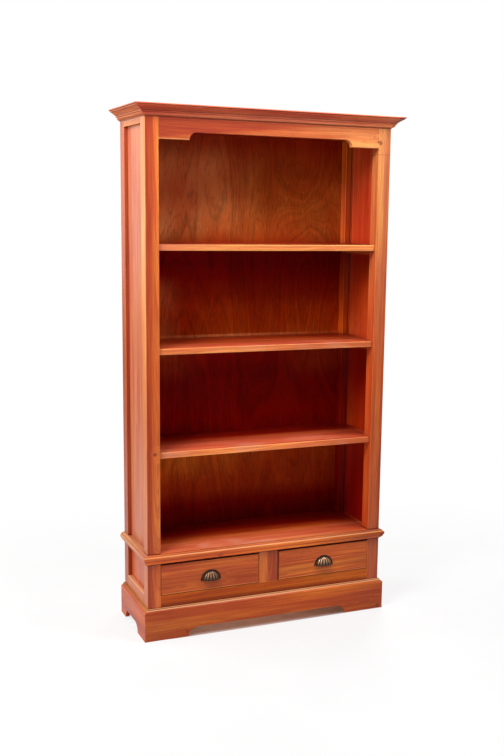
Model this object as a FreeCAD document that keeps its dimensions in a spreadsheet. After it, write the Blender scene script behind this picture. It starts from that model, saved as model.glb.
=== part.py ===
import FreeCAD, Part
import math
import operator
import os
from types import SimpleNamespace

import Sketcher

# Bookcase with two bottom drawers: solid wood frame and panel case on a bracket plinth.
# Millimetres. +X is to the right, +Y to the back, +Z up. The origin is on the floor at the
# middle of the overall footprint; the crown overhangs the case at the front and both sides.

SIZES = {
    # case
    "case_width": 1000,          # over the posts
    "case_depth": 338,           # front face of the posts to their back face
    "overall_height": 2018,      # floor to the top of the crown
    "top_board_thick": 20,
    "post_width": 52,            # along X
    "post_depth": 54,            # along Y
    "edge_ease": 2,              # rounded arrises of posts, shelves and fronts
    "rail_thick": 22,
    "joint_slack": 0.1,          # round every tenon in its mortise
    "tenon_thick": 10,
    "tenon_long": 20,
    # side frames
    "side_rail_thick": 30,
    "side_top_rail_high": 45,
    "side_mid_rail_low": 308,
    "side_mid_rail_high": 32,
    "side_low_rail_low": 92,
    "side_low_rail_high": 80,
    "panel_thick": 6,
    "panel_setback": 14.5,       # outer face of the panel behind the outer face of the frame
    "groove_deep": 10,
    # front top rail: low shoulders, a cove each side, a raised middle
    "shoulder_low": 1897,
    "shoulder_long": 118,
    "cove_rise": 27,
    # back
    "back_thick": 6,
    "back_inset": 5,
    "back_rail_top_high": 58,
    "back_rail_low_high": 108,
    # shelves and deck
    "shelf_thick": 23,
    "shelf_upper_top": 1520,
    "shelf_middle_top": 1134,
    "shelf_lower_top": 738,
    "deck_top": 343,
    "shelf_setback": 10,
    "cleat_wide": 24,
    "cleat_high": 18,
    # crown moulding
    "crown_high": 43,
    "crown_out": 44,
    "crown_lip": 4.4,
    # waist moulding
    "waist_low": 303,
    "waist_high": 39.5,
    "waist_out": 17.7,
    # plinth
    "plinth_high": 126,
    "plinth_thick": 16,
    "plinth_ledge": 5.5,         # flat top, up to a small groove
    "plinth_groove": 3,
    "plinth_step": 1.8,          # top of the rounding below the flat top
    "plinth_round_low": 114,     # where the rounding meets the outer face
    "plinth_round": 12,
    "arch_high": 35,
    "arch_end_long": 50,
    "arch_end_radius": 44,
    "front_foot": 174,           # outer corner of the plinth to the cut-out
    "side_foot_front": 106,
    "side_foot_back": 66,
    "side_arch_end": 42,
    "side_arch_radius": 39,
    # drawer frame
    "drawer_rail_low": 95,
    "drawer_rail_top": 174,      # the drawers run on this level
    "upper_rail_low": 305,
    "upper_rail_deep": 40,
    "muntin_width": 83,
    "runner_high": 20,
    "runner_ledge": 22,
    "guide_high": 24,
    "kicker_low": 298,
    "dust_panel_thick": 6,
    "block_side": 30,
    "block_high": 44,
    # drawers
    "drawer_gap_left": 3.25,     # the drawers sit a little to the right in their openings
    "drawer_gap_right": 1.25,
    "front_low": 176,
    "front_high": 121,
    "front_thick": 20,
    "box_inset": 1,              # drawer sides behind the ends of the front
    "box_thick": 12,
    "box_low": 174.3,
    "box_high": 118,
    "box_back_gap": 0.5,         # drawer shut, between its back and the back rail
    "box_rebate": 12,
    "bottom_thick": 5,
    "bottom_up": 12,
    "bottom_groove": 6,
    "stop_wide": 22,
    "stop_thick": 10,
    "stop_low": 262,
    "stop_high": 51,
    # cup pull
    "pull_up": 39,               # lower edge of the pull above the lower edge of the front
    "pull_radius": 42,
    "pull_dome_radius": 37.5,
    "pull_dome_out": 24,
    "pull_wall": 2,
    "pull_rim_thick": 3,
    "pull_screw_apart": 60,
    "pull_screw_up": 8,
    "pull_boss_radius": 4,
    "pull_boss_long": 9,
    "screw_radius": 2,
    "screw_reach": 7,            # into the pull's boss
    "screw_head_radius": 4,
    "screw_head_thick": 2.5,
    "screw_hole_radius": 2.3,
    "nail_radius": 1,
    "nail_head_radius": 2.5,
    "nail_long": 20,
}

doc = FreeCAD.newDocument("bookcase")
sheet = doc.addObject("Spreadsheet::Sheet", "sheet")
for row, (name, value) in enumerate(SIZES.items(), start=1):
    sheet.set(f"A{row}", str(value))
    sheet.setAlias(f"A{row}", name)
doc.recompute()


class Size:
    """A length kept both as a number and as the sheet expression that gives it."""

    def __init__(self, number, text):
        self.number = number
        self.text = text

    def __add__(self, other):
        return combine(self, "+", other)

    def __radd__(self, other):
        return combine(other, "+", self)

    def __sub__(self, other):
        return combine(self, "-", other)

    def __rsub__(self, other):
        return combine(other, "-", self)

    def __mul__(self, other):
        return combine(self, "*", other)

    def __rmul__(self, other):
        return combine(other, "*", self)

    def __truediv__(self, other):
        return combine(self, "/", other)

    def __neg__(self):
        return combine(0, "-", self)


OPERATIONS = {"+": operator.add, "-": operator.sub, "*": operator.mul, "/": operator.truediv}


def size(value):
    """Any number or Size as a Size."""
    if isinstance(value, Size):
        return value
    return Size(float(value), str(value))


def combine(first, sign, second):
    """The Size of an operation on two lengths."""
    first = size(first)
    second = size(second)
    number = OPERATIONS[sign](first.number, second.number)
    return Size(number, f"({first.text} {sign} {second.text})")


d = SimpleNamespace(**{name: Size(float(value), "sheet." + name) for name, value in SIZES.items()})

# Levels and places that follow from the driving sizes. Y is measured from the front face of
# the posts, and every piece is then set back by case_front.
half = d.case_width / 2
case_front = d.crown_out / 2 - d.case_depth / 2
post_top = d.overall_height - d.top_board_thick
inner = half - d.post_width
rear_post_front = d.case_depth - d.post_depth
side_inner = half - d.side_rail_thick
groove_outer = half - d.panel_setback
panel_low_y = d.post_depth - d.groove_deep
panel_long = rear_post_front - d.post_depth + 2 * d.groove_deep
back_face = d.case_depth - d.back_inset - d.back_thick
back_rail_front = back_face - d.rail_thick
side_top_rail_low = post_top - d.side_top_rail_high
side_mid_rail_top = d.side_mid_rail_low + d.side_mid_rail_high
side_low_rail_top = d.side_low_rail_low + d.side_low_rail_high
post_gap = rear_post_front - d.post_depth

pieces = []


# ---------------------------------------------------------------- ways of making a piece

def bind(item, **sizes):
    """Sets properties of an object to sheet expressions."""
    for name, value in sizes.items():
        item.setExpression(name, size(value).text)


def origin_feature(body, role):
    """One of the body's own origin planes or axes."""
    for feature in body.Origin.OriginFeatures:
        if feature.Role == role:
            return feature
    raise ValueError(role)


def new_body(label):
    """A body whose Y zero is the front face of the posts."""
    body = doc.addObject("PartDesign::Body", label)
    body.Label = label
    body.setExpression("Placement.Base.y", case_front.text)
    return body


def keep(item):
    """Marks an object as a piece with a file of its own."""
    pieces.append(item)
    return item


def board(label, low, extent, piece=True):
    """A plain rectangular board from its low corner."""
    box = doc.addObject("Part::Box", label)
    box.Label = label
    bind(box, Length=extent[0], Width=extent[1], Height=extent[2])
    box.setExpression("Placement.Base.x", size(low[0]).text)
    box.setExpression("Placement.Base.y", (case_front + low[1]).text)
    box.setExpression("Placement.Base.z", size(low[2]).text)
    if piece:
        keep(box)
    return box


def arc_centre(start, end, radius):
    """Centre of the arc from start to end, anticlockwise for a positive radius."""
    middle = (start + end) * 0.5
    chord = end - start
    rise = math.sqrt(radius * radius - chord.Length * chord.Length / 4)
    left = FreeCAD.Vector(-chord.y, chord.x, 0) / chord.Length
    return middle + left * (rise if radius > 0 else -rise)


def sketch_outline(sketch, points):
    """A closed outline. A third value on a point makes the edge that reaches it an arc."""
    places = [FreeCAD.Vector(size(p[0]).number, size(p[1]).number, 0) for p in points]
    count = len(points)
    starts = []
    ends = []
    for index in range(count):
        target = (index + 1) % count
        start, end = places[index], places[target]
        bend = points[target][2] if len(points[target]) > 2 else None
        if bend is None:
            sketch.addGeometry(Part.LineSegment(start, end), False)
            starts.append((index, 1))
            ends.append((index, 2))
            continue
        radius = size(bend).number
        centre = arc_centre(start, end, radius)
        first, last = (start, end) if radius > 0 else (end, start)
        circle = Part.Circle(centre, FreeCAD.Vector(0, 0, 1), abs(radius))
        turn = [math.atan2(p.y - centre.y, p.x - centre.x) for p in (first, last)]
        sketch.addGeometry(Part.ArcOfCircle(circle, turn[0], turn[1]), False)
        starts.append((index, 1 if radius > 0 else 2))
        ends.append((index, 2 if radius > 0 else 1))
    for index in range(count):
        target = (index + 1) % count
        sketch.addConstraint(Sketcher.Constraint("Coincident", *ends[index], *starts[target]))
    for index, point in enumerate(points):
        for kind, value in (("DistanceX", point[0]), ("DistanceY", point[1])):
            held = Sketcher.Constraint(kind, -1, 1, *starts[index], size(value).number)
            number = sketch.addConstraint(held)
            sketch.setExpression(f"Constraints[{number}]", size(value).text)
        if len(point) > 2:
            radius = size(point[2])
            arc = (index - 1) % count
            number = sketch.addConstraint(Sketcher.Constraint("Radius", arc, abs(radius.number)))
            sketch.setExpression(f"Constraints[{number}]", f"abs({radius.text})")


def new_sketch(body, name, plane, offset):
    """A sketch on one of the body's origin planes, moved along that plane's normal."""
    sketch = body.newObject("Sketcher::SketchObject", name)
    sketch.AttachmentSupport = [(origin_feature(body, plane), "")]
    sketch.MapMode = "FlatFace"
    sketch.setExpression("AttachmentOffset.Base.z", size(offset).text)
    return sketch


def pad(body, name, plane, low, thick, points):
    """Adds an outline between low and low + thick along the axis square to the plane."""
    low, thick = size(low), size(thick)
    offset = -(low + thick) if plane == "XZ_Plane" else low
    sketch = new_sketch(body, name + "_sketch", plane, offset)
    sketch_outline(sketch, points)
    feature = body.newObject("PartDesign::Pad", name)
    feature.Profile = sketch
    bind(feature, Length=thick)
    doc.recompute()
    return feature


def pocket(body, name, plane, low, thick, points):
    """Cuts an outline between low and low + thick, and makes sure that wood has gone."""
    before = body.Shape.Volume
    low, thick = size(low), size(thick)
    offset = -low if plane == "XZ_Plane" else low + thick
    sketch = new_sketch(body, name + "_sketch", plane, offset)
    sketch_outline(sketch, points)
    feature = body.newObject("PartDesign::Pocket", name)
    feature.Profile = sketch
    bind(feature, Length=thick)
    doc.recompute()
    if body.Shape.Volume >= before:
        raise RuntimeError(f"{body.Label}: {name} cuts nothing")
    return feature


def box_feature(body, kind, name, low, extent):
    """A rectangular tenon (Additive) or housing (Subtractive) of a body."""
    feature = body.newObject(f"PartDesign::{kind}Box", name)
    feature.AttachmentSupport = [(origin_feature(body, "XY_Plane"), "")]
    feature.MapMode = "FlatFace"
    for axis, value in zip("xyz", low):
        feature.setExpression(f"AttachmentOffset.Base.{axis}", size(value).text)
    bind(feature, Length=extent[0], Width=extent[1], Height=extent[2])
    doc.recompute()
    return feature


def tenon(body, name, low, extent):
    """A tenon, fused to the end of a rail."""
    return box_feature(body, "Additive", name, low, extent)


def housing(body, name, low, extent, slack=0):
    """A mortise, groove or rebate: a box cut away, larger all round by slack."""
    before = body.Shape.Volume
    low = [size(value) - slack for value in low]
    extent = [size(value) + 2 * slack for value in extent]
    feature = box_feature(body, "Subtractive", name, low, extent)
    if body.Shape.Volume >= before:
        raise RuntimeError(f"{body.Label}: {name} cuts nothing")
    return feature


def ease(body, name, chosen):
    """Rounds the edges of the body's tip whose box passes the test."""
    base = body.Tip
    edges = [f"Edge{i}" for i, edge in enumerate(base.Shape.Edges, start=1) if chosen(edge.BoundBox)]
    feature = body.newObject("PartDesign::Fillet", name)
    feature.Base = (base, edges)
    bind(feature, Radius=d.edge_ease)
    doc.recompute()
    return feature


def rectangle(x, y, width, height):
    """Corner points of a rectangle, anticlockwise."""
    return [(x, y), (x + width, y), (x + width, y + height), (x, y + height)]


def mirrored(source, label, centre=0, piece=True):
    """The same piece for the other side of a plane square to X."""
    other = doc.addObject("Part::Mirroring", label)
    other.Label = label
    other.Source = source
    other.Normal = FreeCAD.Vector(1, 0, 0)
    other.setExpression("Base.x", size(centre).text)
    if piece:
        keep(other)
    return other


def group(label, members):
    """Several like solids that share one name."""
    item = doc.addObject("Part::Compound", label)
    item.Label = label
    item.Links = members
    return keep(item)


def near(value, target):
    """True where a measured coordinate is the target's."""
    return abs(value - size(target).number) < 0.01


# ---------------------------------------------------------------- joints of the case frame

# Tenons of the rails between the left and right posts: name, low y, low z, depth, height.
tenon_y = (d.rail_thick - d.tenon_thick) / 2
CROSS_TENONS = {
    "top_rail_front": (tenon_y, d.shoulder_low + 15, d.tenon_thick, d.cove_rise + 50),
    "drawer_rail_upper": (tenon_y, d.upper_rail_low + 3, d.tenon_thick * 2, 9),
    "drawer_rail_lower": (tenon_y, d.drawer_rail_low + 10, d.tenon_thick, 60),
    "back_rail_top": (back_rail_front + tenon_y, post_top - 50, d.tenon_thick, 40),
    "back_rail_lower": (back_rail_front + tenon_y, d.side_low_rail_low + 12, d.tenon_thick, 70),
}

# Tenons of the side rails, into the front and rear posts: low z and height.
SIDE_TENONS = {
    "top": (side_top_rail_low + 13, 25),
    "middle": (d.side_mid_rail_low + d.groove_deep + 1, d.side_mid_rail_high - 2 * d.groove_deep - 2),
    "bottom": (d.side_low_rail_low + 8, 58),
}
side_tenon_x = -half + d.side_rail_thick / 2 - d.tenon_thick / 2


# ---------------------------------------------------------------- corner posts

def post(label, low_y, rear):
    """A square post from the floor to the top board, grooved and mortised on its inner sides."""
    body = new_body(label)
    back = low_y + d.post_depth
    round_off = d.edge_ease
    # The two corners on the outside of the case are rounded, the inner ones are left sharp.
    pad(body, "blank", "XY_Plane", 0, post_top, [
        (-half + round_off, low_y, round_off),
        (-inner, low_y),
        (-inner, back),
        (-half + round_off, back),
        (-half, back - round_off, round_off),
        (-half, low_y + round_off),
    ])

    groove_y = low_y - 1 if rear else back - d.groove_deep
    groove_long = d.groove_deep + 1
    groove_x = -groove_outer
    low_groove = (side_low_rail_top - d.groove_deep, d.side_mid_rail_low + d.groove_deep)
    high_groove = (side_mid_rail_top - d.groove_deep, side_top_rail_low + d.groove_deep)
    for name, (bottom, top) in (("lower_groove", low_groove), ("upper_groove", high_groove)):
        housing(body, name, (groove_x, groove_y, bottom), (d.panel_thick, groove_long, top - bottom),
                d.joint_slack)

    mortise_y = low_y - 1 if rear else back - d.tenon_long
    for name, (bottom, high) in SIDE_TENONS.items():
        housing(body, f"side_{name}_mortise", (side_tenon_x, mortise_y, bottom),
                (d.tenon_thick, d.tenon_long + 1, high), d.joint_slack)

    for name, (y, bottom, deep, high) in CROSS_TENONS.items():
        if rear == name.startswith("back"):
            housing(body, f"{name}_mortise", (-inner - d.tenon_long, y, bottom),
                    (d.tenon_long + 1, deep, high), d.joint_slack)

    if rear:
        rebate_low = (-inner - d.groove_deep, back_face, d.side_low_rail_low)
        rebate = (d.groove_deep + 1, d.back_thick + d.back_inset + 1, post_top - d.side_low_rail_low + 1)
        housing(body, "back_rebate", rebate_low, rebate)
    return keep(body)


mirrored(post("post_front_left", size(0), False), "post_front_right")
mirrored(post("post_rear_left", rear_post_front, True), "post_rear_right")


# ---------------------------------------------------------------- side frames and panels

def side_rail(label, low, high, tenon_name, grooves):
    """A rail between the front and rear posts of the left side, tenoned into both."""
    body = new_body(label)
    pad(body, "blank", "YZ_Plane", -half, d.side_rail_thick,
        rectangle(d.post_depth, low, post_gap, high))
    bottom, tall = SIDE_TENONS[tenon_name]
    for name, y in (("front_tenon", d.post_depth - d.tenon_long), ("back_tenon", rear_post_front)):
        tenon(body, name, (side_tenon_x, y, bottom), (d.tenon_thick, d.tenon_long, tall))
    for name, z in grooves.items():
        housing(body, name, (-groove_outer, d.post_depth - 1, z),
                (d.panel_thick, post_gap + 2, d.groove_deep), d.joint_slack)
    return keep(body)


side_rails = [
    side_rail("side_rail_top_left", side_top_rail_low, d.side_top_rail_high, "top",
              {"groove": side_top_rail_low}),
    side_rail("side_rail_middle_left", d.side_mid_rail_low, d.side_mid_rail_high, "middle",
              {"lower_groove": d.side_mid_rail_low, "upper_groove": side_mid_rail_top - d.groove_deep}),
    side_rail("side_rail_bottom_left", d.side_low_rail_low, d.side_low_rail_high, "bottom",
              {"groove": side_low_rail_top - d.groove_deep}),
]


def side_panel(label, low, top):
    """A thin flat panel that floats in the grooves of its frame."""
    return board(label, (-groove_outer, panel_low_y, low), (d.panel_thick, panel_long, top - low))


side_panels = [
    side_panel("side_panel_upper_left", side_mid_rail_top - d.groove_deep,
               side_top_rail_low + d.groove_deep),
    side_panel("side_panel_lower_left", side_low_rail_top - d.groove_deep,
               d.side_mid_rail_low + d.groove_deep),
]
for item in side_rails + side_panels:
    mirrored(item, item.Label.replace("_left", "_right"))


# ---------------------------------------------------------------- rails across the case

def cross_tenons(body, name):
    """The tenons at both ends of a rail between the posts."""
    y, bottom, deep, high = CROSS_TENONS[name]
    tenon(body, "left_tenon", (-inner - d.tenon_long, y, bottom), (d.tenon_long, deep, high))
    tenon(body, "right_tenon", (inner, y, bottom), (d.tenon_long, deep, high))


# The front top rail steps up from a low shoulder at each post through a cove.
top_rail = new_body("top_rail_front")
shoulder_end = inner - d.shoulder_long
cove_end = shoulder_end - d.cove_rise
middle_low = d.shoulder_low + d.cove_rise
pad(top_rail, "blank", "XZ_Plane", 0, d.rail_thick, [
    (-inner, d.shoulder_low),
    (-shoulder_end, d.shoulder_low),
    (-cove_end, middle_low, -d.cove_rise),
    (cove_end, middle_low),
    (shoulder_end, d.shoulder_low, -d.cove_rise),
    (inner, d.shoulder_low),
    (inner, post_top),
    (-inner, post_top),
])
cross_tenons(top_rail, "top_rail_front")
ease(top_rail, "lower_edge", lambda box: near(box.YMax, 0) and box.ZMax < middle_low.number + 1)
keep(top_rail)

deck_low = d.deck_top - d.shelf_thick
for label, low_y, low_z, deep, high in (
    ("drawer_rail_upper", 0, d.upper_rail_low, d.upper_rail_deep, deck_low - d.upper_rail_low),
    ("drawer_rail_lower", 0, d.drawer_rail_low, d.rail_thick, d.drawer_rail_top - d.drawer_rail_low),
    ("back_rail_top", back_rail_front, post_top - d.back_rail_top_high, d.rail_thick, d.back_rail_top_high),
    ("back_rail_lower", back_rail_front, d.side_low_rail_low, d.rail_thick, d.back_rail_low_high),
):
    rail = new_body(label)
    pad(rail, "blank", "XY_Plane", low_z, high, rectangle(-inner, low_y, 2 * inner, deep))
    cross_tenons(rail, label)
    keep(rail)

board("muntin", (-d.muntin_width / 2, 0, d.drawer_rail_top),
      (d.muntin_width, d.rail_thick, d.upper_rail_low - d.drawer_rail_top))


# ---------------------------------------------------------------- top, back, shelves and deck

board("top_board", (-half, 0, post_top), (d.case_width, d.case_depth, d.top_board_thick))
back_side = inner + d.groove_deep - 0.5
board("back_panel", (-back_side, back_face, d.side_low_rail_low),
      (2 * back_side, d.back_thick, post_top - d.side_low_rail_low - 2))


def notched_board(label, low_y, top, thick, reach, back_y):
    """A board across the case, cut out round the four posts. reach is its half width."""
    body = new_body(label)
    pad(body, "blank", "XY_Plane", top - thick, thick, [
        (-inner, low_y),
        (inner, low_y),
        (inner, d.post_depth),
        (reach, d.post_depth),
        (reach, rear_post_front),
        (inner, rear_post_front),
        (inner, back_y),
        (-inner, back_y),
        (-inner, rear_post_front),
        (-reach, rear_post_front),
        (-reach, d.post_depth),
        (-inner, d.post_depth),
    ])
    return keep(body)


panel_inner = groove_outer - d.panel_thick
SHELVES = {
    "shelf_upper": d.shelf_upper_top,
    "shelf_middle": d.shelf_middle_top,
    "shelf_lower": d.shelf_lower_top,
}
cleats = []
for label, top in SHELVES.items():
    shelf = notched_board(label, d.shelf_setback, top, d.shelf_thick, panel_inner - 0.5, back_face)
    ease(shelf, "front_edges", lambda box: near(box.YMax, d.shelf_setback) and box.XLength > 100)
    cleat_low = (-panel_inner, d.post_depth, top - d.shelf_thick - d.cleat_high)
    cleat = board(label + "_cleat", cleat_low, (d.cleat_wide, post_gap, d.cleat_high), piece=False)
    cleats += [cleat, mirrored(cleat, label + "_cleat_right", piece=False)]
group("shelf_cleats", cleats)

deck = notched_board("deck", size(0), d.deck_top, d.shelf_thick, side_inner, back_face)
ease(deck, "front_edge", lambda box: near(box.YMax, 0) and near(box.ZMin, d.deck_top) and box.XLength > 100)
dust_top = d.drawer_rail_top - d.runner_high
notched_board("dust_panel", d.rail_thick, dust_top, d.dust_panel_thick, side_inner, back_rail_front)


# ---------------------------------------------------------------- drawer runners and kickers

# Outer runner: an L section on the bottom side rail. Its ledge carries the drawer side and its
# upright keeps the drawer straight.
runner_left = new_body("runner_left")
ledge = inner - d.runner_ledge
guide_top = d.drawer_rail_top + d.guide_high
pad(runner_left, "blank", "XZ_Plane", d.post_depth, post_gap, [
    (-side_inner, dust_top),
    (-ledge, dust_top),
    (-ledge, d.drawer_rail_top),
    (-inner, d.drawer_rail_top),
    (-inner, guide_top),
    (-side_inner, guide_top),
])
keep(runner_left)
mirrored(runner_left, "runner_right")

# Centre runner: a ledge for each drawer with the guide between them, behind the muntin.
centre = d.muntin_width / 2
centre_ledge = centre + d.runner_ledge
runner_centre = new_body("runner_centre")
pad(runner_centre, "blank", "XZ_Plane", d.rail_thick, back_rail_front - d.rail_thick, [
    (-centre_ledge, dust_top),
    (centre_ledge, dust_top),
    (centre_ledge, d.drawer_rail_top),
    (centre, d.drawer_rail_top),
    (centre, guide_top),
    (-centre, guide_top),
    (-centre, d.drawer_rail_top),
    (-centre_ledge, d.drawer_rail_top),
])
keep(runner_centre)

# Kickers under the deck stop an open drawer from tipping.
kicker_high = deck_low - d.kicker_low
kicker = board("kicker_left", (-side_inner, d.post_depth, d.kicker_low),
               (side_inner - ledge, post_gap, kicker_high), piece=False)
group("kickers_outer", [kicker, mirrored(kicker, "kicker_right", piece=False)])
board("kicker_centre", (-centre_ledge, d.upper_rail_deep, d.kicker_low),
      (2 * centre_ledge, back_face - d.upper_rail_deep, kicker_high))

# Triangular glue blocks in the four corners under the dust panel.
block_top = dust_top - d.dust_panel_thick
blocks = []
for label, corner_y, inward in (("block_front", d.rail_thick, 1), ("block_rear", back_rail_front, -1)):
    block = new_body(label)
    outline = [
        (-inner, corner_y),
        (-inner + d.block_side, corner_y),
        (-inner, corner_y + inward * d.block_side),
    ]
    pad(block, "blank", "XY_Plane", block_top - d.block_high, d.block_high, outline)
    blocks += [block, mirrored(block, label + "_right", piece=False)]
group("corner_blocks", blocks)


# ---------------------------------------------------------------- mouldings and plinth

def mitre_corner(out):
    """Cut lines of the left front mitre: what the front length and the left return lose."""
    beyond = out + 2
    corner = (-half, 0)
    tip = (-half - beyond, -beyond)
    front_waste = [corner, (-half - beyond, 0), tip]
    return_waste = [corner, tip, (-half, -beyond)]
    return front_waste, return_waste


def flip(points):
    """Points of an outline mirrored in X and kept anticlockwise."""
    return [(-x, y) for x, y in reversed(points)]


def moulding(name, low, high, out, profile):
    """Front length and two returns of a moulding, mitred at the front corners.

    profile gives points as (distance out from the case, height above low[, radius]),
    starting at the case face and going up the outside."""
    front_waste, return_waste = mitre_corner(out)
    front = new_body(name + "_front")
    front_profile = [(-p[0], low + p[1]) + tuple(p[2:]) for p in profile]
    pad(front, "length", "YZ_Plane", -half - out, d.case_width + 2 * out, front_profile)
    pocket(front, "left_mitre", "XY_Plane", low - 1, high + 2, front_waste)
    pocket(front, "right_mitre", "XY_Plane", low - 1, high + 2, flip(front_waste))
    keep(front)
    side = new_body(name + "_left")
    side_profile = [(-half - p[0], low + p[1]) + tuple(p[2:]) for p in profile]
    pad(side, "length", "XZ_Plane", -out, d.case_depth + out, side_profile)
    pocket(side, "mitre", "XY_Plane", low - 1, high + 2, return_waste)
    mirrored(keep(side), name + "_right")


# Crown, from the bottom: a small step, a quarter round, a bead between two quirks, a bevel
# hollowed very slightly, and a thin lip with rounded corners.
crown_low = d.overall_height - d.crown_high
lip_low = d.crown_high - d.crown_lip
bevel_out = d.crown_out - 4.5
moulding("crown", crown_low, d.crown_high, d.crown_out, [
    (0, 0),
    (2.5, 0),
    (2.5, 2.6),
    (5, 3),
    (13, 12.6, -12),
    (12.2, 13.1),
    (12.2, 14.2),
    (13.6, 14.4),
    (17.4, 18.8, -3.4),
    (16.8, 19.2),
    (16.8, 20.4),
    (19.5, 20.8),
    (bevel_out, lip_low - 4, 70),
    (bevel_out, lip_low - 1.8),
    (d.crown_out - 1.2, lip_low),
    (d.crown_out, lip_low + 1.2, -1.2),
    (d.crown_out, d.crown_high - 1),
    (d.crown_out - 1, d.crown_high, -1),
    (0, d.crown_high),
])

# Waist, from the bottom: a small step, a shallow rounding, a broad nose between two quirks
# and a rounded slope up to the case.
moulding("waist", d.waist_low, d.waist_high, d.waist_out, [
    (0, 0),
    (2.5, 0),
    (2.5, 1.6),
    (4, 2.2),
    (14.2, 15.6, -30),
    (13.2, 16.2),
    (13.2, 17.4),
    (d.waist_out - 2.3, 17.8),
    (d.waist_out - 4.5, 33.4, -11),
    (12, 33.4),
    (12, 34.7),
    (2.5, d.waist_high, -20),
    (0, d.waist_high),
])


def plinth_waste(sign, outer):
    """What is planed off the top outer edge of a plinth board, seen from its end.

    sign is the way out from the case along the sketch's first axis, outer the face's place."""
    case_side = outer - sign * d.plinth_thick
    ledge_end = case_side + sign * d.plinth_ledge
    groove_end = ledge_end + sign * 1.2
    groove_low = d.plinth_high - d.plinth_groove
    return [
        (ledge_end, d.plinth_high + 1),
        (ledge_end, groove_low),
        (groove_end, groove_low),
        (groove_end, d.plinth_high - d.plinth_step),
        (outer, d.plinth_round_low, sign * d.plinth_round),
        (outer + sign, d.plinth_round_low),
        (outer + sign, d.plinth_high + 1),
    ]


plinth_front_waste, plinth_side_waste = mitre_corner(d.plinth_thick)
plinth_half = half + d.plinth_thick
arch_half = plinth_half - d.front_foot
arch_flat = arch_half - d.arch_end_long
plinth_front = new_body("plinth_front")
pad(plinth_front, "blank", "XZ_Plane", -d.plinth_thick, d.plinth_thick, [
    (-plinth_half, 0),
    (-arch_half, 0),
    (-arch_flat, d.arch_high, -d.arch_end_radius),
    (arch_flat, d.arch_high),
    (arch_half, 0, -d.arch_end_radius),
    (plinth_half, 0),
    (plinth_half, d.plinth_high),
    (-plinth_half, d.plinth_high),
])
pocket(plinth_front, "top_edge", "YZ_Plane", -plinth_half - 1, 2 * plinth_half + 2,
       plinth_waste(-1, -d.plinth_thick))
for name, waste in (("left_mitre", plinth_front_waste), ("right_mitre", flip(plinth_front_waste))):
    pocket(plinth_front, name, "XY_Plane", -1, d.plinth_high + 2, waste)
keep(plinth_front)

plinth_left = new_body("plinth_left")
side_arch_front = d.side_foot_front - d.plinth_thick
side_arch_back = d.case_depth - d.side_foot_back
pad(plinth_left, "blank", "YZ_Plane", -plinth_half, d.plinth_thick, [
    (-d.plinth_thick, 0),
    (side_arch_front, 0),
    (side_arch_front + d.side_arch_end, d.arch_high, -d.side_arch_radius),
    (side_arch_back - d.side_arch_end, d.arch_high),
    (side_arch_back, 0, -d.side_arch_radius),
    (d.case_depth, 0),
    (d.case_depth, d.plinth_high),
    (-d.plinth_thick, d.plinth_high),
])
pocket(plinth_left, "top_edge", "XZ_Plane", -d.plinth_thick - 1, d.case_depth + d.plinth_thick + 2,
       plinth_waste(-1, -plinth_half))
pocket(plinth_left, "mitre", "XY_Plane", -1, d.plinth_high + 2, plinth_side_waste)
keep(plinth_left)
mirrored(plinth_left, "plinth_right")


# ---------------------------------------------------------------- nails and screws

def pin(label, x, y, z, outline):
    """A nail or screw along Y with the underside of its head at the given place."""
    body = doc.addObject("PartDesign::Body", label)
    for axis, value in zip("xyz", (x, case_front + y, z)):
        body.setExpression(f"Placement.Base.{axis}", size(value).text)
    sketch = new_sketch(body, "profile", "XY_Plane", 0)
    sketch_outline(sketch, outline)
    turned = body.newObject("PartDesign::Revolution", "turned")
    turned.Profile = sketch
    turned.ReferenceAxis = (origin_feature(body, "Y_Axis"), [""])
    turned.Angle = 360
    return body


# Headed nails through the back panel, into both rear posts and into the two back rails.
NAIL = [
    (0, -d.nail_long),
    (d.nail_radius, -d.nail_long + 2),
    (d.nail_radius, 0),
    (d.nail_head_radius, 0),
    (d.nail_head_radius, 1),
    (0, 1),
]
POST_NAILS = 9
RAIL_NAILS = 4
nail_first = d.side_low_rail_low + 60
nail_step = (post_top - 100 - nail_first) / (POST_NAILS - 1)
rail_nail_step = d.case_width / (RAIL_NAILS + 1)
nail_spots = []
for side in (-1, 1):
    nail_spots += [(side * (inner + 5), nail_first + row * nail_step) for row in range(POST_NAILS)]
for z in (d.side_low_rail_low + 30, post_top - 30):
    nail_spots += [(-half + (place + 1) * rail_nail_step, z) for place in range(RAIL_NAILS)]
panel_back = back_face + d.back_thick
group("back_panel_nails", [
    pin(f"nail_{index}", x, panel_back, z, NAIL) for index, (x, z) in enumerate(nail_spots)
])


# ---------------------------------------------------------------- drawers

# The left drawer, between the left post and the muntin. The right one is its mirror image,
# moved so that it too leaves the wider gap on its left.
front_low_x = -inner + d.drawer_gap_left
front_high_x = -centre - d.drawer_gap_right
front_wide = front_high_x - front_low_x
drawer_middle = (front_low_x + front_high_x) / 2
drawer_mirror = (d.drawer_gap_left - d.drawer_gap_right) / 2
box_low_x = front_low_x + d.box_inset
box_high_x = front_high_x - d.box_inset
box_end = back_rail_front - d.box_back_gap
box_front = d.front_thick - d.box_rebate
bottom_low = d.box_low + d.bottom_up
pull_low = d.front_low + d.pull_up
screw_z = pull_low + d.pull_screw_up
screw_xs = (drawer_middle - d.pull_screw_apart / 2, drawer_middle + d.pull_screw_apart / 2)


def drawer_pair(item):
    """Keeps a piece of the left drawer and makes its twin in the right drawer."""
    keep(item)
    mirrored(item, item.Label.replace("_left", "_right"), drawer_mirror)


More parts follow.
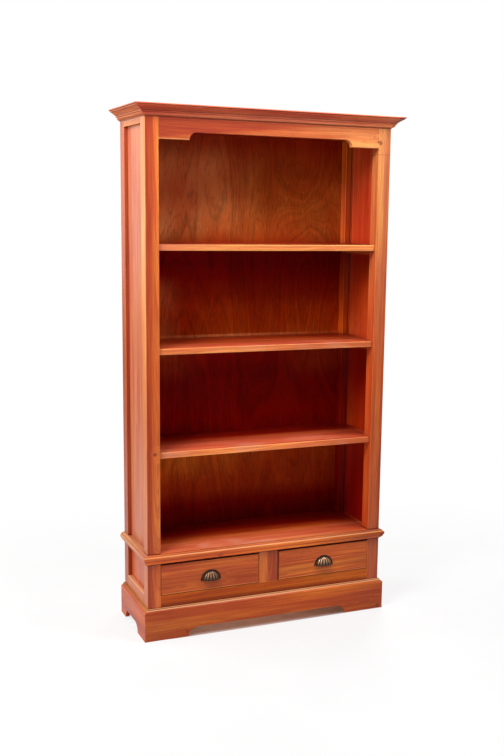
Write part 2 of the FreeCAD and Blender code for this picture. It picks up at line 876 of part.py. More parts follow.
def sketch_circle(sketch, x, z, radius):
    """A circle whose centre and radius follow the sheet."""
    middle = FreeCAD.Vector(x.number, z.number, 0)
    sketch.addGeometry(Part.Circle(middle, FreeCAD.Vector(0, 0, 1), radius.number), False)
    held = (
        (Sketcher.Constraint("DistanceX", -1, 1, 0, 3, x.number), x),
        (Sketcher.Constraint("DistanceY", -1, 1, 0, 3, z.number), z),
        (Sketcher.Constraint("Radius", 0, radius.number), radius),
    )
    for constraint, value in held:
        number = sketch.addConstraint(constraint)
        sketch.setExpression(f"Constraints[{number}]", value.text)


def round_hole(body, name, x, z, low, deep, radius):
    """A round hole along Y from low to low + deep."""
    before = body.Shape.Volume
    sketch = new_sketch(body, name + "_sketch", "XZ_Plane", -size(low))
    sketch_circle(sketch, size(x), size(z), size(radius))
    hole = body.newObject("PartDesign::Pocket", name)
    hole.Profile = sketch
    bind(hole, Length=deep)
    doc.recompute()
    if body.Shape.Volume >= before:
        raise RuntimeError(f"{body.Label}: {name} cuts nothing")


def round_boss(body, name, x, z, low, deep, radius):
    """A round boss along Y from low to low + deep."""
    sketch = new_sketch(body, name + "_sketch", "XZ_Plane", -(size(low) + deep))
    sketch_circle(sketch, size(x), size(z), size(radius))
    boss = body.newObject("PartDesign::Pad", name)
    boss.Profile = sketch
    bind(boss, Length=deep)
    doc.recompute()


front = new_body("drawer_left_front")
pad(front, "blank", "XZ_Plane", 0, d.front_thick,
    rectangle(front_low_x, d.front_low, front_wide, d.front_high))
rebate_wide = d.box_inset + d.box_thick
for name, x in (("outer_rebate", front_low_x), ("inner_rebate", front_high_x - rebate_wide)):
    housing(front, name, (x, box_front, d.front_low - 1), (rebate_wide, d.box_rebate + 1, d.front_high + 2))
housing(front, "bottom_groove", (box_low_x, d.front_thick - d.bottom_groove, bottom_low),
        (box_high_x - box_low_x, d.bottom_groove + 1, d.bottom_thick), d.joint_slack)
for name, x in zip(("outer_screw_hole", "inner_screw_hole"), screw_xs):
    round_hole(front, name, x, screw_z, -1, d.front_thick + 2, d.screw_hole_radius)
ease(front, "front_edges", lambda box: near(box.YMax, 0) and max(box.XLength, box.ZLength) > 50)
drawer_pair(front)

# The sides run in the rebates of the front and are grooved for the bottom.
for which, x, groove_x in (
    ("outer", box_low_x, box_low_x + d.box_thick - d.bottom_groove),
    ("inner", box_high_x - d.box_thick, box_high_x - d.box_thick - 1),
):
    side = new_body(f"drawer_left_side_{which}")
    pad(side, "blank", "XY_Plane", d.box_low, d.box_high,
        rectangle(x, box_front, d.box_thick, box_end - box_front))
    housing(side, "bottom_groove", (groove_x, box_front - 1, bottom_low),
            (d.bottom_groove + 1, box_end - box_front + 2, d.bottom_thick), d.joint_slack)
    drawer_pair(side)

# The back stands on the bottom, which slides in from behind, under the back.
inside_wide = box_high_x - box_low_x - 2 * d.box_thick
back_low_y = box_end - d.box_thick
bottom_top = bottom_low + d.bottom_thick
box_back_high = d.box_low + d.box_high - d.back_thick - bottom_top
drawer_pair(board("drawer_left_back", (box_low_x + d.box_thick, back_low_y, bottom_top),
                  (inside_wide, d.box_thick, box_back_high), piece=False))
bottom_reach = d.bottom_groove - 0.5
drawer_pair(board("drawer_left_bottom",
                  (box_low_x + d.box_thick - bottom_reach, d.front_thick - bottom_reach, bottom_low),
                  (inside_wide + 2 * bottom_reach, box_end - d.front_thick + bottom_reach, d.bottom_thick),
                  piece=False))

# The turn button stands up behind the upper drawer rail and catches it when the drawer is out.
drawer_pair(board("drawer_left_stop",
                  (drawer_middle - d.stop_wide / 2, back_low_y - d.stop_thick, d.stop_low),
                  (d.stop_wide, d.stop_thick, d.stop_high), piece=False))


# ---------------------------------------------------------------- cup pulls and their screws

def cap_radius(reach, out):
    """Radius of the arc that rises by out over a half width of reach."""
    return (reach * reach + out * out) / (2 * out)


# A cast half dome, open below, on a flat rim. Half its section is turned half a circle about
# the axis through the middle of its lower edge.
inner_reach = d.pull_dome_radius - d.pull_wall
inner_out = d.pull_dome_out - d.pull_wall
dome_rise = d.pull_dome_out - d.pull_rim_thick
pull = doc.addObject("PartDesign::Body", "drawer_left_pull")
pull.Label = "drawer_left_pull"
for axis, value in zip("xyz", (drawer_middle, case_front, pull_low)):
    pull.setExpression(f"Placement.Base.{axis}", value.text)
section = new_sketch(pull, "section", "XY_Plane", 0)
sketch_outline(section, [
    (inner_reach, 0, cap_radius(inner_reach, inner_out)),
    (d.pull_radius, 0),
    (d.pull_radius, -d.pull_rim_thick),
    (d.pull_dome_radius, -d.pull_rim_thick),
    (0, -d.pull_dome_out, -cap_radius(d.pull_dome_radius, dome_rise)),
    (0, -inner_out),
])
dome = pull.newObject("PartDesign::Revolution", "dome")
dome.Profile = section
dome.ReferenceAxis = (origin_feature(pull, "Y_Axis"), [""])
dome.Angle = 180
dome.Reversed = True
doc.recompute()
for name, x in (("left", -d.pull_screw_apart / 2), ("right", d.pull_screw_apart / 2)):
    round_boss(pull, name + "_boss", x, d.pull_screw_up, -d.pull_boss_long, d.pull_boss_long,
               d.pull_boss_radius)
    round_hole(pull, name + "_thread", x, d.pull_screw_up, -d.screw_reach - 1, d.screw_reach + 2,
               d.screw_radius + d.joint_slack)
drawer_pair(pull)

shaft_long = d.front_thick + d.screw_reach
SCREW = [
    (0, -shaft_long),
    (d.screw_radius, -shaft_long),
    (d.screw_radius, 0),
    (d.screw_head_radius, 0),
    (d.screw_head_radius, d.screw_head_thick / 2),
    (0, d.screw_head_thick),
]
pull_screws = group("drawer_left_pull_screws", [
    pin(f"pull_screw_{index}", x, d.front_thick, screw_z, SCREW) for index, x in enumerate(screw_xs)
])
mirrored(pull_screws, "drawer_right_pull_screws", drawer_mirror)


# ---------------------------------------------------------------- checks and files

doc.recompute()
os.makedirs("parts", exist_ok=True)
for item in doc.Objects:
    if "Invalid" in item.State or "Error" in item.State:
        raise RuntimeError(f"{item.Label} is {item.State}")
for item in pieces:
    if item.Shape.isNull() or not item.Shape.isValid():
        raise RuntimeError(f"{item.Label} has no valid shape")
for item in pieces:
    item.Shape.exportStep(f"parts/{item.Label}.step")
    box = item.Shape.BoundBox
    print(f"{item.Label:26s} {len(item.Shape.Solids):2d} solids"
          f"  x {box.XMin:8.1f} {box.XMax:8.1f}"
          f"  y {box.YMin:8.1f} {box.YMax:8.1f}"
          f"  z {box.ZMin:8.1f} {box.ZMax:8.1f}")
print(len(pieces), "pieces")
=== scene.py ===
import math

import bpy
from mathutils import Matrix, Vector


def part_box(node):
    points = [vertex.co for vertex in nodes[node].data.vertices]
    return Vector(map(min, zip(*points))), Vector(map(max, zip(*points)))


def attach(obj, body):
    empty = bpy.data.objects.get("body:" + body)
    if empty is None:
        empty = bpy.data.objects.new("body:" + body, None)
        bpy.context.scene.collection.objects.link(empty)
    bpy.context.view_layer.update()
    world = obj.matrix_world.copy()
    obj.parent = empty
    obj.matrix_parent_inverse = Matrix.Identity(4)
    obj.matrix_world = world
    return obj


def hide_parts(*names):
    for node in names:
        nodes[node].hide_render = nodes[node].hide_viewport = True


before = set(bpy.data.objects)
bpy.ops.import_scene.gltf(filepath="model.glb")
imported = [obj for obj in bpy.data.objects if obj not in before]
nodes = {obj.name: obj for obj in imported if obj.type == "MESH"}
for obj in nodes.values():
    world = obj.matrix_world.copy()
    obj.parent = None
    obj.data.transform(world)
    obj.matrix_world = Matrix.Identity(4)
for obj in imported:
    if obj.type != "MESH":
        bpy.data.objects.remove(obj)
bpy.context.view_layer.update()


# ---------------------------------------------------------------- corner posts
# Four square posts of red-brown hardwood run from the floor to the top board. They are stained,
# then sprayed with a satin lacquer that leaves the grain to be seen and felt.

class Field:
    """A number, colour or vector that changes over a surface. Arithmetic on it adds the nodes."""

    def __init__(self, tree, socket):
        self.tree = tree
        self.socket = socket

    def node(self, kind, settings, inputs, output=0):
        """Any node: its settings first, then values or other fields for its sockets."""
        made = self.tree.nodes.new("ShaderNode" + kind)
        for name, value in settings.items():
            if name == "stops":
                fill_ramp(made.color_ramp.elements, value)
            else:
                setattr(made, name, value)
        for name, value in inputs.items():
            if isinstance(value, Field):
                self.tree.links.new(value.socket, made.inputs[name])
            else:
                made.inputs[name].default_value = value
        return Field(self.tree, made.outputs[output])

    def maths(self, operation, *values):
        """A Math node over numbers and fields."""
        return self.node("Math", {"operation": operation}, dict(enumerate(values)))

    def vectors(self, operation, *values, output="Vector"):
        """A Vector Math node over vectors and fields."""
        return self.node("VectorMath", {"operation": operation}, dict(enumerate(values)), output)

    def __add__(self, other):
        return self.maths("ADD", self, other)

    def __radd__(self, other):
        return self.maths("ADD", other, self)

    def __sub__(self, other):
        return self.maths("SUBTRACT", self, other)

    def __rsub__(self, other):
        return self.maths("SUBTRACT", other, self)

    def __mul__(self, other):
        return self.maths("MULTIPLY", self, other)

    def __rmul__(self, other):
        return self.maths("MULTIPLY", other, self)

    def __truediv__(self, other):
        return self.maths("DIVIDE", self, other)

    def __abs__(self):
        return self.maths("ABSOLUTE", self)

    def along(self, axis):
        """How far a vector reaches along x, y or z."""
        return self.node("SeparateXYZ", {}, {0: self}, axis.upper())

    def stretched(self, x=1, y=1, z=1):
        """A vector with its three axes scaled."""
        return self.vectors("MULTIPLY", self, (x, y, z))

    def noise(self, scale, detail, seed):
        """Soft noise from 0 to 1 over a vector."""
        return self.node("TexNoise", {"noise_dimensions": "4D"},
                         {"Vector": self, "W": seed, "Scale": scale, "Detail": detail}, "Fac")

    def rings(self, detail):
        """Soft noise from 0 to 1 over a number, so it stays the same all along a ring."""
        return self.node("TexNoise", {"noise_dimensions": "1D"}, {"W": self, "Detail": detail}, "Fac")

    def rise(self, low, high):
        """0 below low, 1 above high and a smooth rise between them."""
        return self.node("MapRange", {"interpolation_type": "SMOOTHSTEP"},
                         {"Value": self, "From Min": low, "From Max": high})

    def ramp(self, stops):
        """Colours for a number from 0 to 1, as (number, colour) pairs."""
        return self.node("ValToRGB", {"stops": stops}, {0: self})

    def laid_along(self, axis, stops):
        """Colours set out along an axis of the bookcase, as (metres, colour) pairs."""
        first, last = stops[0][0], stops[-1][0]
        share = (self.along(axis) - first) / (last - first)
        return share.ramp([((metres - first) / (last - first), colour) for metres, colour in stops])

    def blend(self, amount, other, how="MIX"):
        """This colour mixed with another one."""
        mix_from, mix_to, mixed = 6, 7, 2   # the Mix node's sockets for colours
        if not isinstance(other, Field):
            other = (*other, 1)
        return self.node("Mix", {"data_type": "RGBA", "blend_type": how},
                         {0: amount, mix_from: self, mix_to: other}, mixed)

    def scaled(self, amount):
        """This colour made lighter or darker."""
        return self.node("VectorMath", {"operation": "SCALE"}, {0: self, "Scale": amount})

    def bump(self, strength, depth=0.0005):
        """The surface normal that this height gives."""
        return self.node("Bump", {}, {"Strength": strength, "Distance": depth, "Height": self})


def fill_ramp(elements, stops):
    """Sets a colour ramp's stops from (place, colour) pairs."""
    while len(elements) < len(stops):
        elements.new(1.0)
    for element, (place, colour) in zip(elements, stops):
        element.position = place
        element.color = (*colour, 1.0)


def new_finish(name):
    """A new material with its shader and the surface's own coordinates."""
    material = bpy.data.materials.new(name)
    material.use_nodes = True
    tree = material.node_tree
    place = Field(tree, tree.nodes.new("ShaderNodeTexCoord").outputs["Object"])
    return material, tree.nodes["Principled BSDF"], place


def own_seed():
    """A seed for the finish made last, so that no two boards share their grain."""
    step = 3.7
    return step * len(bpy.data.materials)


def feed(shader, **sockets):
    """Links fields to a shader's sockets. Underscores stand for spaces."""
    for name, value in sockets.items():
        value.tree.links.new(value.socket, shader.inputs[name.replace("_", " ")])


# How the board's own length, local Z, turns onto each axis of the bookcase.
GRAIN_TURN = {"x": (0, math.pi / 2, 0), "y": (-math.pi / 2, 0, 0), "z": (0, 0, 0)}


def on_board(place, grain, middle=(0, 0, 0)):
    """A place in the board's own measure: Z runs along its grain, from its middle."""
    return place.node("Mapping", {"vector_type": "TEXTURE"},
                      {"Vector": place, "Location": middle, "Rotation": GRAIN_TURN[grain]})


def edge_distance(place, piece):
    """Metres from a point on a board's face to the nearest arris of its box."""
    low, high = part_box(piece)
    middle, reach = (low + high) / 2, (high - low) / 2
    outward = place.vectors("ABSOLUTE", place.vectors("SUBTRACT", place, middle))
    inset = place.vectors("SUBTRACT", reach, outward)
    x, y, z = (inset.along(axis) for axis in "xyz")
    near, far = x.maths("MINIMUM", x, y), x.maths("MAXIMUM", x, y)
    return x.maths("MAXIMUM", near, x.maths("MINIMUM", far, z))


def round_knots(place, wander, knots):
    """The wander of the grain, bent round its knots, and how dark the knots are."""
    dark = 0
    for spot, size in knots:
        distance = place.vectors("DISTANCE", place, spot, output="Value")
        wander = wander + (1 - distance.rise(0, 4 * size)) * 0.35
        dark = dark + (1 - distance.rise(0.3 * size, size))
    return wander, dark


def growth_rings(board, pith, wander, seed):
    """The rings round the heart of the log, which the board cuts at a slant."""
    slant, fineness = 0.012, 120
    heart = board.vectors("SUBTRACT", board, (*pith, 0))
    radius = heart.vectors("LENGTH", heart.stretched(z=slant), output="Value") + wander * 0.05
    return (radius * fineness + seed).rings(2)


HEARTWOOD = (0.270, 0.030, 0.009)
GOLDEN = (0.790, 0.250, 0.045)
STAIN = [(0.33, HEARTWOOD), (0.46, (0.480, 0.066, 0.014)), (0.56, (0.640, 0.135, 0.022)), (0.68, GOLDEN)]
KNOT = (0.170, 0.020, 0.006)
# Pale pink for the fronts of the shelves: scuffing and painted sheen.
SCUFF_AND_SHEEN = (0.82, 0.36, 0.24)
# The faces that look into the bays end within the thickness of the side panels and the back.
BAY_SIDE = (0.481, 0.484)
BAY_BACK = (0.182, 0.186)


def stained_wood(piece, grain, tints=(), lines=(), sapwood=None, pith=(0.10, 0.05), wear=0.40, knots=(),
                 bold=1.0, bay=(), shine=1.0, scuffs=0):
    """The lacquered hardwood of one board: broad colour bands, narrow streaks and growth rings.

    grain is the axis the board lies along and pith the way across to the heart of the log. tints
    are (axis, stops) pairs that multiply the colour: painted light and shade, painted sheen where
    light glances off the lacquer, and the stain's own changes. lines are (axis, metres, half width,
    colour): painted shade in corners, quirks and gaps, with some dirt, or a painted highlight along
    an arris, partly paled by handling. sapwood is a place on the edge of the pale wood, the way into
    it and how softly it begins. wear is how far the arrises are painted pale,
    partly from handling and partly as painted highlight; knots are (place, radius) pairs, and bold
    sets how strongly the figure shows. bay gives the stops of painted light and shade up the height
    of the open bays, for the faces that look into them. shine is how much of the lacquer's gloss is
    left, and scuffs how much of the front of a shelf is painted pale pink, partly scuffing
    and partly painted sheen."""
    material, shader, place = new_finish(piece + "_wood")
    seed = own_seed()
    low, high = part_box(piece)
    board = on_board(place, grain, (low + high) / 2)

    # The figure, from the broadest bands to the finest fibres.
    wander = board.stretched(z=0.12).noise(5, 2, seed) - 0.5
    wander, dark_knot = round_knots(place, wander, knots)
    rings = growth_rings(board, pith, wander, seed)
    broad = board.stretched(z=0.07).noise(20, 2, seed + 1)
    streak = board.stretched(z=0.03).noise(85, 3, seed + 2)
    thread = board.stretched(z=0.04).noise(190, 3, seed + 3)
    fibre = board.stretched(z=0.025).noise(480, 3, seed)
    pores = board.stretched(z=0.05).noise(1300, 1, seed)
    fleck = board.stretched(z=0.3).noise(150, 2, seed + 4)
    figure = (broad * 0.44 + streak * 0.24 + thread * 0.16 + rings * 0.16 - 0.5) * bold + 0.5
    if sapwood:
        edge, inward, soft = sapwood
        away = place.vectors("DOT_PRODUCT", place.vectors("SUBTRACT", place, edge), inward, output="Value")
        figure = figure + (away + wander * 0.03).rise(-soft, soft) * 0.11

    # The stain, which the fibres, the pores, the veins and the flecks take up most.
    colour = figure.ramp(STAIN)
    vein = 1 - abs(rings - 0.5).rise(0.0, 0.05)
    for amount in ((1 - fibre.rise(0.34, 0.60)) * 0.28, (1 - pores.rise(0.30, 0.44)) * 0.20, vein * 0.30,
                   fleck.rise(0.64, 0.74) * 0.45):
        colour = colour.blend(amount, HEARTWOOD)

    # Pale arrises, from handling and painted highlight; painted light and shade from the tints and the bay
    # stops; pale patches of scuffing and painted sheen; knots; and lines of painted shade and highlight.
    pale_arris_wear_and_highlight = 1 - (edge_distance(place, piece) + (fibre - 0.5) * 0.004).rise(0.0, 0.0032)
    colour = colour.blend(pale_arris_wear_and_highlight * wear, GOLDEN)
    drift = wander.node("CombineXYZ", {}, {0: wander * 0.006, 1: wander * 0.01, 2: wander * 0.06})
    uneven = place.vectors("ADD", place, drift)
    # The tints multiply in painted light, shade and sheen, with the stain's own changes.
    for axis, stops in tints:
        colour = colour.blend(1.0, uneven.laid_along(axis, stops), "MULTIPLY")
    # Painted light and shade up the bays, on the faces that look into them.
    if bay:
        indoors = (1 - place.along("x").rise(*BAY_SIDE)) * (1 - place.along("y").rise(*BAY_BACK))
        colour = colour.blend(indoors, uneven.laid_along("z", bay), "MULTIPLY")
    # Pale pink patches towards the front of a shelf: scuffing and painted sheen.
    if scuffs:
        patches = place.stretched(x=0.5).noise(10, 3, seed + 5).rise(0.50, 0.66)
        front = 1 - place.along("y").rise(-0.12, 0.01)
        colour = colour.blend(patches * front * scuffs, SCUFF_AND_SHEEN)
    if knots:
        colour = colour.blend(dark_knot.maths("MINIMUM", dark_knot, 0.70), KNOT)
    # Lines of painted shade in corners, quirks and gaps, and painted highlights along arrises.
    for axis, level, half_width, stuff in lines:
        off = abs(place.along(axis) - level) + (streak - 0.5) * half_width
        colour = colour.blend((1 - off.rise(half_width * 0.5, half_width * 1.2)) * 0.85, stuff)

    # The lacquer, thin enough that the fibres and pores still show in it.
    shader.inputs["Specular IOR Level"].default_value = 0.30 * shine
    shader.inputs["Coat Weight"].default_value = 0.12 * shine
    shader.inputs["Coat Roughness"].default_value = 0.18
    blotch = place.noise(7, 3, seed)
    feed(shader, Base_Color=colour, Roughness=0.36 + (blotch - 0.5) * 0.12 + pale_arris_wear_and_highlight * 0.08,
         Normal=(fibre * 0.5 + pores * 0.5 + rings * 0.3).bump(0.20))
    return material


def dress(piece, finish, *how, **more):
    """Gives a piece its finish, which is made to suit it."""
    nodes[piece].material_slots[0].material = finish(piece, *how, **more)


# Painted shade, with some dirt, lies in the corners along the crown, the waist and the plinth, and in
# the gaps and recesses between parts. The second, redder colour is painted shade alone, for the quirks
# and grooves of the mouldings.
DUST_AND_SHADE = (0.110, 0.006, 0.002)
RED_SHADE = (0.230, 0.040, 0.012)
inner_face, front_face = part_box("post_front_right")[0].xy
crown_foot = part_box("crown_front")[0].z
waist_foot, waist_top = (corner.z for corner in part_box("waist_front"))
plinth_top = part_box("plinth_front")[1].z
CORNERS = [("z", crown_foot - 0.0005, 0.0011, DUST_AND_SHADE), ("z", waist_top + 0.0015, 0.0022, DUST_AND_SHADE),
           ("z", waist_foot - 0.0010, 0.0018, DUST_AND_SHADE), ("z", plinth_top + 0.0015, 0.0018, DUST_AND_SHADE)]

# Painted light in its tints: lighter towards the top, and the outer side, which the window lights, painted
# paler and pinker with painted sheen, partly sapwood.
dress("post_front_left", stained_wood, "z", tints=[
    ("z", [(0.2, (0.87, 0.76, 0.58)), (0.9, (0.95, 0.90, 0.90)), (1.9, (1.05, 1.18, 1.14))]),
    ("x", [(-0.500, (1.15, 1.85, 2.80)), (-0.496, (0.75, 0.50, 0.48)), (-0.484, (0.86, 0.68, 0.66)),
           (-0.474, (0.97, 0.84, 0.86)), (-0.457, (1.07, 0.95, 1.02))]),
], lines=CORNERS, sapwood=((-0.474, 0, 0), (1, 0, 0), 0.020), pith=(0.03, 0.14), knots=[
    ((-0.467, front_face, 0.735), 0.010),
    ((-0.460, front_face, 1.900), 0.003),
    ((-0.500, -0.122, 1.370), 0.002),
])
# Painted light in its tints: a golden painted sheen towards the top, and the inner side lighter where light
# from the left reaches it. The line across it is painted shade.
dress("post_front_right", stained_wood, "z", tints=[
    ("z", [(0.2, (0.95, 1.10, 1.05)), (1.0, (1.10, 1.25, 1.3)), (1.9, (1.15, 2.3, 3.8))]),
    ("x", [(0.448, (1.5, 1.45, 1.25)), (0.450, (1.08, 1.12, 1.02)), (0.467, (1.20, 1.45, 1.40)),
           (0.490, (0.87, 0.74, 0.72))]),
    ("y", [(-0.147, (1, 1, 1)), (-0.140, (0.92, 0.82, 0.85)), (-0.100, (1.10, 1.12, 1.15))]),
], lines=CORNERS + [("z", 1.873, 0.0010, RED_SHADE)], pith=(0.05, 0.12), wear=0.15,
    knots=[((0.455, front_face, 1.918), 0.012)])
# Painted shade in its tints: the whole post darker, and its face in the recess beside the panel darker still.
dress("post_rear_left", stained_wood, "z", tints=[
    ("z", [(0.2, (0.64, 0.62, 0.75)), (1.9, (0.70, 0.68, 0.95))]),
    ("x", [(-0.500, (1.05, 1.10, 1.05)), (-0.496, (0.88, 0.72, 1.10))]),
], lines=CORNERS)

# Painted light and shade up the bays: deep red under each shelf, where shade falls, and lighter above
# it, where light reaches.
BAY_LIGHT_POST = [
    (0.34, (0.56, 0.03, 0.04)), (0.50, (0.78, 0.08, 0.10)), (0.69, (0.98, 0.14, 0.14)),
    (0.98, (0.58, 0.04, 0.04)), (1.08, (0.85, 0.35, 0.20)), (1.16, (1.85, 1.85, 0.90)),
    (1.28, (1.60, 1.60, 0.80)), (1.46, (0.72, 0.30, 0.30)), (1.54, (1.70, 1.85, 1.70)),
    (1.92, (2.30, 2.85, 2.50)),
]
# Painted shade on the face in the recess between this post and the panel, with lines of painted shade at the
# panel and the back; the inner side and the top are painted lighter.
dress("post_rear_right", stained_wood, "z", tints=[
    ("x", [(0.448, (1.15, 1.3, 1.4)), (0.4505, (0.50, 0.37, 0.28)), (0.455, (0.62, 0.58, 0.46)),
           (0.468, (0.62, 0.58, 0.46)), (0.49, (0.8, 0.7, 0.8))]),
    ("z", [(1.70, (1.0, 1.0, 1.0)), (1.88, (0.85, 1.30, 0.9))]),
], lines=[("x", 0.4725, 0.0024, DUST_AND_SHADE), ("x", 0.480, 0.003, DUST_AND_SHADE), ("y", 0.181, 0.003, DUST_AND_SHADE)], bay=BAY_LIGHT_POST)


# ---------------------------------------------------------------- side frames and panels
# Three rails tenoned between the posts on each side, and a thin flat panel that floats in their
# grooves above and below the middle rail.
# The side frames' tints are painted light: a sheen over the left rails and panels, where the window lights
# them, light along the bottom rail's top edge, shade towards the foot of the lower left panel, and on the
# right panel shade at the front and light towards the back.
SIDE_TINTS = {
    "side_rail_top_left": [("z", [(1.9, (0.90, 1.45, 1.10)), (2.0, (0.90, 1.45, 1.10))])],
    "side_rail_middle_left": [("z", [(0.3, (0.85, 1.8, 4.5)), (0.4, (0.85, 1.8, 4.5))])],
    "side_rail_bottom_left": [
        ("z", [(0.1, (0.85, 0.88, 0.70)), (0.168, (0.88, 1.05, 0.8)), (0.172, (1.2, 3.0, 7.0))]),
    ],
    "side_panel_upper_left": [("y", [(-0.04, (0.93, 1.38, 2.6)), (0.14, (0.96, 1.50, 3.4))])],
    "side_panel_lower_left": [("z", [(0.1, (0.84, 0.80, 0.46)), (0.3, (0.95, 0.84, 0.49))])],
    "side_panel_upper_right": [
        ("y", [(-0.06, (0.85, 0.75, 0.75)), (0.06, (1, 1, 1)), (0.13, (1.2, 1.6, 1.4))]),
    ],
}
# Painted light and shade up the bays on the right panel: deep red under each shelf and lighter above it.
BAY_LIGHT_PANEL = {"side_panel_upper_right": [
    (0.36, (0.66, 0.05, 0.06)), (0.54, (0.84, 0.08, 0.08)), (0.69, (0.97, 0.30, 0.30)),
    (0.76, (1.12, 0.50, 0.25)), (0.95, (0.78, 0.12, 0.06)), (1.07, (0.70, 0.09, 0.07)),
    (1.15, (1.45, 1.08, 1.20)), (1.33, (1.38, 0.88, 0.48)), (1.46, (0.80, 0.26, 0.20)),
    (1.54, (1.38, 0.76, 1.10)), (1.72, (1.40, 0.85, 1.10)), (1.87, (1.75, 1.75, 2.35)),
]}
for side in ("left", "right"):
    for rail in ("top", "middle", "bottom"):
        name = f"side_rail_{rail}_{side}"
        dress(name, stained_wood, "y", tints=SIDE_TINTS.get(name, ()), lines=CORNERS)
    for panel in ("upper", "lower"):
        name = f"side_panel_{panel}_{side}"
        dress(name, stained_wood, "z", tints=SIDE_TINTS.get(name, ()), pith=(0.16, 0.03), bold=0.65,
              bay=BAY_LIGHT_PANEL.get(name, ()))


# ---------------------------------------------------------------- front and back rails
# The shaped rail under the crown, the rails above and below the drawers, the upright between
# the drawers and the two plain rails that stiffen the back.
# A pale line along an arris: painted highlight, partly paled by handling.
PALE_WEAR_AND_HIGHLIGHT = (0.82, 0.36, 0.13)
# Painted light in the top rail's tints: a sheen over its right end, light along its lower edge and shade just
# under the crown; the pale line is a painted highlight on the lower arris.
dress("top_rail_front", stained_wood, "x", tints=[
    ("x", [(-0.44, (0.68, 0.48, 0.66)), (-0.10, (0.85, 0.67, 0.85)), (0.10, (0.90, 0.78, 1.10)),
           (0.40, (0.98, 1.10, 1.80))]),
    ("z", [(1.900, (1.10, 1.30, 1.20)), (1.930, (1, 1, 1)), (1.975, (1.0, 0.92, 0.92))]),
], lines=CORNERS + [("z", 1.8985, 0.0015, PALE_WEAR_AND_HIGHLIGHT)], sapwood=((-0.30, 0, 1.922), (0.10, 0, -0.99), 0.006),
    pith=(0.03, 0.10), knots=[((0.447, front_face, 1.922), 0.008)])
dress("drawer_rail_upper", stained_wood, "x")
# Painted light and shade in its tints: shade at its foot above the plinth and light on its top face. The line
# above the plinth's ledge is painted shade.
dress("drawer_rail_lower", stained_wood, "x", tints=[
    ("z", [(0.128, (0.50, 0.42, 0.18)), (0.138, (0.96, 1.08, 0.42)), (0.156, (1.10, 1.27, 0.55)),
           (0.170, (0.84, 0.86, 0.36)), (0.173, (0.84, 0.86, 0.36)), (0.174, (3.2, 4.2, 5.0))]),
], lines=[("z", plinth_top + 0.0015, 0.0024, DUST_AND_SHADE)], bold=1.1, shine=0.4)
dress("back_rail_top", stained_wood, "x", tints=[("z", [(1.9, (0.64, 0.1, 0.03)), (2.0, (0.64, 0.1, 0.03))])])
dress("back_rail_lower", stained_wood, "x")
# The line along its right edge is painted shade in the gap beside the right drawer.
dress("muntin", stained_wood, "z", tints=[
    ("x", [(-0.040, (0.74, 0.54, 0.38)), (-0.030, (0.96, 0.74, 0.55)), (-0.012, (0.96, 0.74, 0.55)),
           (0.0, (0.86, 0.72, 0.34)), (0.04, (0.84, 0.70, 0.36))]),
], lines=CORNERS + [("x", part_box("muntin")[1].x, 0.0026, DUST_AND_SHADE)], sapwood=((-0.004, 0, 0), (-1, 0, 0), 0.003),
    pith=(0.01, 0.06), bold=1.3)


# ---------------------------------------------------------------- back panel
# One sheet of plywood nailed into the rebates of the rear posts. Its face veneer was peeled off
# the log, so the rings show as long flames.

def veneer_tone(place, piece):
    """The veneer's colour: painted shade in deep red under the shelves, painted light where light falls,
    and bare wood on the back face.
    """
    wine, oxblood, garnet = (0.16, 0.001, 0.0003), (0.22, 0.003, 0.0003), (0.32, 0.022, 0.001)
    ruby, umber, tan = (0.32, 0.004, 0.0003), (0.33, 0.038, 0.004), (0.42, 0.080, 0.011)
    russet, honey, straw = (0.39, 0.050, 0.003), (0.46, 0.11, 0.014), (0.95, 0.38, 0.13)
    copper, amber, chestnut = (0.46, 0.056, 0.003), (0.95, 0.38, 0.03), (0.33, 0.034, 0.001)
    bare = (0.44, 0.17, 0.055)
    # The tones up the height follow the bays: painted shade in deep red under each shelf and painted light
    # where light reaches.
    tone = place.laid_along("z", [
        (0.34, wine), (0.43, oxblood), (0.49, chestnut), (0.66, russet), (0.71, ruby), (0.80, ruby),
        (0.88, oxblood), (0.98, wine), (1.06, oxblood), (1.12, copper), (1.25, copper), (1.31, garnet),
        (1.38, oxblood), (1.43, wine), (1.485, wine), (1.52, umber), (1.56, tan), (1.66, honey),
        (1.76, honey), (1.92, garnet),
    ])
    x, y, z = (place.along(axis) for axis in "xyz")
    left = 1 - x.rise(-0.30, 0.15)
    edge = (1 - x.rise(-0.34, -0.24)) * z.rise(1.02, 1.15)
    sides = abs(x).rise(0.12, 0.34) * z.rise(0.92, 1.02) * (1 - z.rise(1.07, 1.12))
    seam = (1 - z.rise(1.141, 1.147)) * z.rise(1.12, 1.13) * (1 - x.rise(0.05, 0.35) * 0.8)
    middle = (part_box(piece)[0].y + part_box(piece)[1].y) / 2
    # Most patches below are painted light: straw in the left of the top bay and along the left edge, amber in
    # the left of the bottom bay and umber at the sides of the second bay. A paler band lies along the middle
    # shelf, and the back face is bare wood.
    for amount, colour in (
        (left * z.rise(1.50, 1.70) * (1 - z.rise(1.80, 1.92) * 0.85) * 0.72, straw),
        (edge * (1 - z.rise(1.28, 1.40)) * 0.36, straw),
        (edge * z.rise(1.50, 1.60) * (1 - z.rise(1.76, 1.88)) * 0.40, straw),
        (left * z.rise(0.50, 0.64) * (1 - z.rise(0.70, 0.73)) * 0.20, amber),
        (sides * 0.50, umber),
        (seam * 0.50, straw),
        (y.rise(middle - 0.001, middle + 0.001), bare),
    ):
        tone = tone.blend(amount, colour)
    return tone, left


